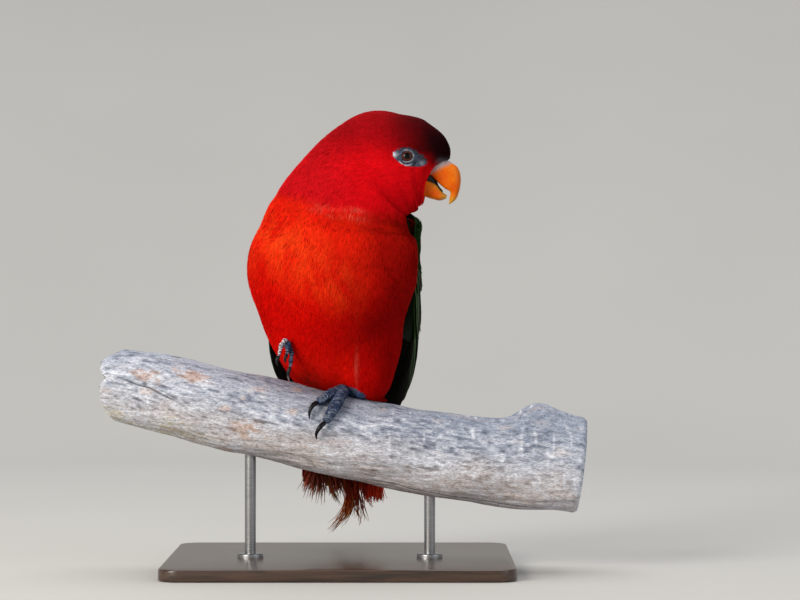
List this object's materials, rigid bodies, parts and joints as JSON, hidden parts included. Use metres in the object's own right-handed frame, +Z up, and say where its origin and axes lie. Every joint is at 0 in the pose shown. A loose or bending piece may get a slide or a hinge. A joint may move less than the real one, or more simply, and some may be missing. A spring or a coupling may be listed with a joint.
{
  "type": "chattering lory",
  "caption": "Still, life-size red parrot with green wings, perched upright on a cut branch, head turned to one side, held on a flat base by two rods.",
  "frame": {"origin": "on the underside of the stand's base, straight below the middle of the perch where the bird sits", "axes": "+Z up, the bird's breast faces -Y and its left side is +X, its head is turned to look along +X"},
  "size_m": [0.2833, 0.176, 0.2667],
  "materials": {
    "body_feathers": "matt, soft overlapping red feathers",
    "head_feathers": "matt, short crimson feathers, nearly black over the forehead",
    "wing_feathers": "satin olive and dark green flight feathers",
    "tail_feathers": "satin dark red feathers with dusky olive ends",
    "bill": "smooth semi-gloss orange horn",
    "eye": "wet, glossy, dark pupil in a brown iris",
    "foot_skin": "dry, scaly, dark blue-grey skin",
    "claw": "smooth black horn",
    "bark": "weathered grey dead wood, bare of bark",
    "stand_wood": "dark satin varnish",
    "stand_metal": "brushed"
  },
  "bodies": {
    "root": {"torso": "body_feathers", "neck": "head_feathers", "head": "head_feathers", "upper_bill": "bill", "lower_bill": "bill", "tail": "tail_feathers", "eye_left": "eye", "wing_left": "wing_feathers", "thigh_left": "body_feathers", "eye_right": "eye", "wing_right": "wing_feathers", "thigh_right": "body_feathers", "foot_left": "foot_skin", "foot_right": "foot_skin", "claw_left_1": "claw", "claw_left_2": "claw", "claw_left_3": "claw", "claw_left_4": "claw", "claw_right_2": "claw", "claw_right_3": "claw", "claw_right_4": "claw", "perch": "bark", "stand_base": "stand_wood", "stand_rod_left": "stand_metal", "stand_rod_right": "stand_metal"}
  },
  "joints": []
}
